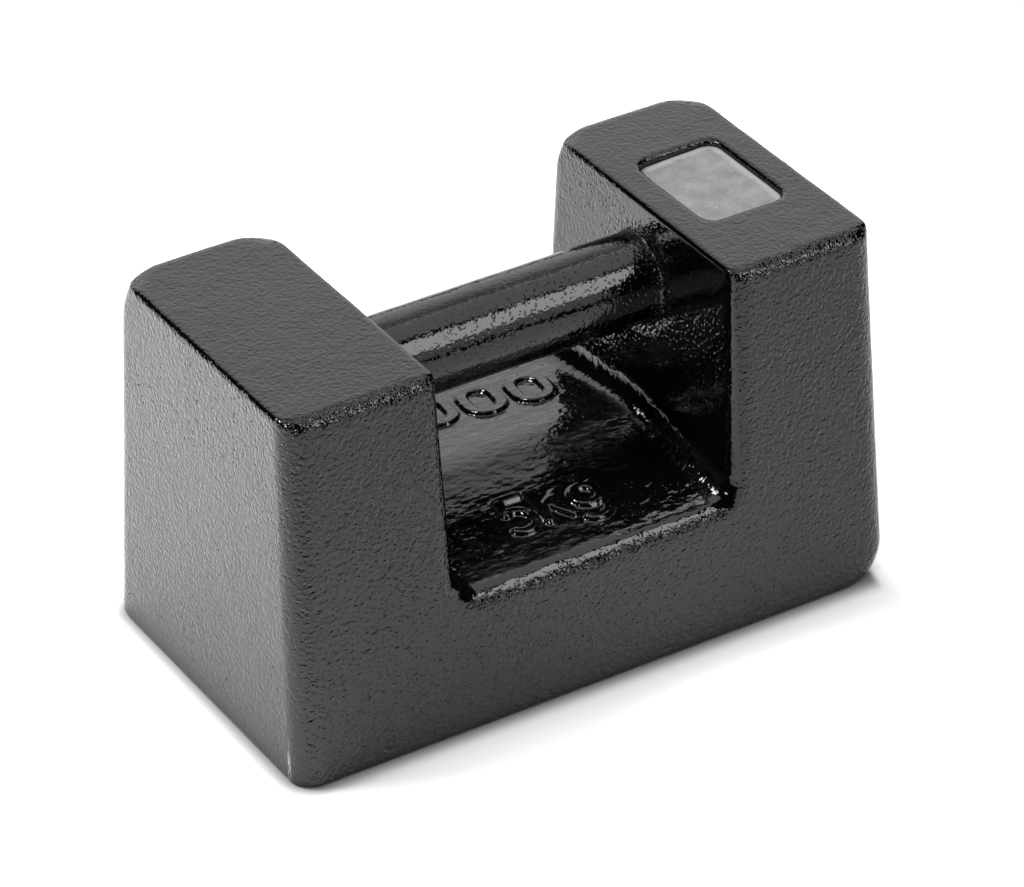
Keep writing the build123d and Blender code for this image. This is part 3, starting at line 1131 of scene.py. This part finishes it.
@dataclass(frozen=True)
class Lead:
    """Dull lead, faintly mottled, with a brighter hammered rim, fine scratches and bright specks."""

    dark: Triple = (0.3, 0.3, 0.305)
    light: Triple = (0.46, 0.46, 0.465)
    scraped: Triple = (0.62, 0.62, 0.62)
    rim: float = 2.0 * MM

    def material(self) -> Material:
        """Make the material of the seal."""
        sheet = MaterialSheet("lead")
        low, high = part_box("lead_seal")
        over_x = abs(sheet.axis("X") - (low.x + high.x) / 2) - (high.x - low.x) / 2
        over_y = abs(sheet.axis("Y") - (low.y + high.y) / 2) - (high.y - low.y) / 2
        edge = over_x.larger(over_y)
        clouds = sheet.noise(5 * MM, 2.0, 0.55)
        grain = sheet.noise(0.45 * MM, 2.0, 0.6, 0.2)
        share = (clouds * 0.6 + grain * 0.4).ramp(0.3, 0.7)
        patches = sheet.noise(3.5 * MM, 2.0, 0.6, 0.7)
        rim = (edge + patches * self.rim).ramp(-0.9 * self.rim, -0.2 * self.rim) * 0.7
        lines = sheet.noise(0.5 * MM, 1.0, 0.5, 0.35, (0.12, 1.5, 1.0)).ramp(0.6, 0.68)
        lines = lines * sheet.axis("X").ramp((low.x + high.x) / 2, high.x - 3 * MM) * patches.ramp(0.45, 0.6)
        specks = sheet.noise(0.5 * MM, 0.0, 0.5, 0.9).ramp(0.8, 0.84)
        bright = rim.larger(lines * 0.6).larger(specks)
        colour = sheet.tint(share, self.dark, self.light)
        inputs = {"Factor": bright, 6: colour, 7: (*self.scraped, 1.0)}
        mixed = sheet.add("ShaderNodeMix", {"data_type": "RGBA"}, inputs).outputs[2]
        height = clouds * 0.6 + grain * 0.2 + bright * 0.3
        return sheet.finish(
            {
                "Base Color": mixed,
                "Roughness": bright.ramp(0.0, 1.0, 0.6, 0.42),
                "Metallic": 0.35,
                "Normal": sheet.bump(height, 0.12 * MM),
            }
        )


@dataclass(frozen=True)
class BareMetal:
    """A plain metal of the hidden pieces, with rolled or cast grain."""

    name: str
    dark: Triple
    light: Triple
    roughness: float
    grain: float

    def material(self) -> Material:
        """Make the material."""
        sheet = MaterialSheet(self.name)
        clouds = sheet.noise(self.grain * 8, 2.0, 0.5)
        grain = sheet.noise(self.grain, 3.0, 0.6, 0.4)
        share = (clouds + grain) * 0.5
        return sheet.finish(
            {
                "Base Color": sheet.tint(share, self.dark, self.light),
                "Metallic": 0.9,
                "Roughness": share.ramp(0.3, 0.7, self.roughness, self.roughness + 0.15),
                "Normal": sheet.bump(grain, 0.04 * MM),
            }
        )


# The studio


class Lamp(Enum):
    """The soft boxes round the table: azimuth from +Y towards +X, elevation, distance, size, brightness."""

    BACK_LOW = (28.0, 23.0, 1.1, 1.34, 0.59, 1.17)
    BACK_MIDDLE = (28.0, 43.0, 1.1, 1.065, 0.193, 0.9)
    BACK_HIGH = (28.0, 55.0, 1.1, 0.835, 0.27, 0.54)
    OVERHEAD = (90.0, 82.0, 1.1, 0.87, 1.15, 1.15)
    FRONT_HIGH = (148.0, 40.0, 1.1, 0.48, 0.52, 4.4)
    FRONT_LOW = (148.0, 18.0, 1.1, 0.59, 0.35, 0.8)
    SPARKLE = (-122.0, 36.0, 1.1, 0.19, 0.19, 20.0)


@dataclass(frozen=True)
class Studio:
    """White table, soft boxes and camera."""

    floor_size: float = 1.3
    ambient: float = 0.004
    azimuth: float = -31.06
    elevation: float = 33.09
    roll: float = -1.12
    distance: float = 1.113
    aim: Triple = (0.8 * MM, -3.3 * MM, 39.4 * MM)
    lens: float = 183.63
    camera_glow: float = 0.6
    mirrored_glow: float = 0.3
    # The next four settings shape a painted shadow on the table round the weight's foot: its reach, how much narrower
    # it is on the +X side, how the glow fades in, and its grey.
    contact_shade: float = 10 * MM
    lit_side: float = 3.0
    close_share: float = 0.6
    painted_shadow_grey: Triple = (0.3, 0.3, 0.3)
    white: Triple = (0.88, 0.88, 0.88)
    spot_place: Triple = (-0.30, 0.22, 0.50)
    spot_aim: Triple = (-0.145, 0.10, 0.0)
    spot_power: float = 25.5
    spot_angle: float = 50.0
    spot_radius: float = 0.15
    sensor: float = 36.0

    @staticmethod
    def direction(azimuth: float, elevation: float) -> Vector:
        """Unit vector at so many degrees from +Y towards +X, and so many above the horizon."""
        a, e = math.radians(azimuth), math.radians(elevation)
        return Vector((math.sin(a) * math.cos(e), math.cos(a) * math.cos(e), math.sin(e)))

    @staticmethod
    def hang(data: Light, place: Vector, back: Vector) -> None:
        """Hang a light that the camera itself doesn't see.

        Args:
            data: The light.
            place: Where it hangs.
            back: Direction in which its back points.
        """
        light = linked(data.name, data)
        light.location = place
        light.rotation_mode = "QUATERNION"
        light.rotation_quaternion = back.to_track_quat("Z", "Y")
        light.visible_camera = False

    def hang_lamps(self) -> None:
        """Place the soft boxes, each facing the weight."""
        for lamp in Lamp:
            azimuth, elevation, distance, width, height, brightness = lamp.value
            data = bpy.data.lights.new(lamp.name.lower(), "AREA")
            data.shape = "RECTANGLE"
            data.size, data.size_y = width, height
            data.energy = brightness * math.pi * width * height
            towards = self.direction(azimuth, elevation)
            self.hang(data, Vector(self.aim) + towards * distance, towards)

    def hang_spot(self) -> None:
        """Point a soft spot at the table behind the weight's left end."""
        data = bpy.data.lights.new("spot", "SPOT")
        data.energy = self.spot_power
        data.spot_size = math.radians(self.spot_angle)
        data.spot_blend = 1.0
        data.shadow_soft_size = self.spot_radius
        place = Vector(self.spot_place)
        self.hang(data, place, place - Vector(self.spot_aim))

    def lay_floor(self, casting: Casting) -> Object:
        """Lay the white table top, with a painted shadow right beside the weight's foot: darker base colour and less
        glow there.

        Args:
            casting: The casting that stands on it.

        Returns:
            The table top.
        """
        half = self.floor_size / 2 / MM
        corners = np.array([(-half, -half, 0), (half, -half, 0), (half, half, 0), (-half, half, 0)])
        floor = mesh_object("table_top", corners, np.array([[0, 1, 2, 3]]))
        sheet = MaterialSheet("white_table")
        path = sheet.add("ShaderNodeLightPath").outputs
        glow = sheet.value(path["Is Camera Ray"]) * self.camera_glow
        glow = glow + sheet.value(path["Is Glossy Ray"]) * self.mirrored_glow
        # Painted shadow round the foot: distance from the foot's outline, counted lit_side times along +X so that the
        # painted shadow is narrower on that side.
        corner = casting.corner_radius * MM
        over_x = (abs(sheet.axis("X")) - (casting.base_length / 2 * MM - corner)).larger(0.0)
        over_x = over_x * sheet.axis("X").ramp(0.0, 1 * MM, 1.0, self.lit_side)
        over_y = (abs(sheet.axis("Y")) - (casting.base_width / 2 * MM - corner)).larger(0.0)
        clear = (over_x * over_x + over_y * over_y) ** 0.5 - corner
        shade = self.contact_shade
        # Painted shadow: close to the foot the base colour turns to a grey and the glow fades.
        near = clear.ramp(-0.14 * shade, 0.42 * shade)
        close = 1 - clear.ramp(0.0, shade, 1, 0) ** 3.0
        far = clear.ramp(0.5 * shade, 1.8 * shade)
        glow = glow * (close * self.close_share + far * (1 - self.close_share))
        material = sheet.finish(
            {
                "Base Color": sheet.tint(near, self.painted_shadow_grey, self.white),
                "Roughness": 0.9,
                "Specular IOR Level": 0.0,
                "Emission Color": sheet.tint(glow, (0.0, 0.0, 0.0), (1.0, 1.0, 1.0)),
                "Emission Strength": 1.0,
            }
        )
        floor.data.materials.append(material)
        return floor

    def light_world(self) -> None:
        """White for the camera, a white sweep below the horizon for the gloss, else a dim even room."""
        world = bpy.data.worlds.new("room")
        world.use_nodes = True
        sheet = NodeSheet(world.node_tree)
        sheet.tree.nodes.clear()
        path = sheet.add("ShaderNodeLightPath").outputs
        direction = sheet.add("ShaderNodeTexCoord").outputs["Generated"]
        height = sheet.value(sheet.add("ShaderNodeSeparateXYZ", inputs={0: direction}).outputs["Z"])
        sweep = sheet.value(path["Is Glossy Ray"]) * height.ramp(-0.02, 0.02, 1, 0)
        camera = sheet.value(path["Is Camera Ray"])
        strength = (camera + sweep) * (1 - self.ambient) + self.ambient
        inputs = {"Color": (1.0, 1.0, 1.0, 1.0), "Strength": strength}
        background = sheet.add("ShaderNodeBackground", inputs=inputs)
        sheet.add("ShaderNodeOutputWorld", inputs={"Surface": background.outputs[0]})
        bpy.context.scene.world = world

    def set_camera(self) -> None:
        """Place the camera."""
        data = bpy.data.cameras.new("camera")
        data.lens = self.lens
        data.sensor_width = self.sensor
        camera = linked("camera", data)
        back = self.direction(180 - self.azimuth, self.elevation)
        upright = back.to_track_quat("Z", "Y").to_matrix()
        turned = upright @ Matrix.Rotation(math.radians(self.roll), 3, "Z")
        camera.matrix_world = Matrix.Translation(Vector(self.aim) + back * self.distance) @ turned.to_4x4()
        bpy.context.scene.camera = camera


def main() -> None:
    """Build the studio and every piece, and log each new mesh's faces and each hidden piece's metal."""
    logging.basicConfig(level=logging.INFO, format="%(message)s")
    bpy.context.scene.view_settings.view_transform = "Standard"
    studio = Studio()
    studio.set_camera()
    studio.light_world()
    studio.hang_lamps()
    studio.hang_spot()
    casting = Casting()
    studio.lay_floor(casting)

    enamel = Enamel().material(casting)
    body = casting.build(enamel)
    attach(body, BODY)
    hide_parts("cast_body")
    LOG.info("casting: %d faces", len(body.data.polygons))

    nibs = EnamelFaults().build(body, enamel)
    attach(nibs, BODY)
    LOG.info("enamel nibs: %d faces", len(nibs.data.polygons))

    seal = LeadSeal().build(Lead().material())
    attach(seal, BODY)
    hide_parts("lead_seal")
    LOG.info("lead seal: %d faces", len(seal.data.polygons))

    metals = {
        "closure_plate": BareMetal("mild_steel", (0.3, 0.3, 0.31), (0.5, 0.5, 0.51), 0.35, 0.8 * MM),
        "adjusting_shot": BareMetal("lead_shot", (0.2, 0.2, 0.21), (0.36, 0.36, 0.37), 0.55, 0.6 * MM),
    }
    for node, metal in metals.items():
        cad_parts[node].data.materials.clear()
        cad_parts[node].data.materials.append(metal.material())
        LOG.info("%s: %s", node, metal.name)


if __name__ == "__main__":
    main()
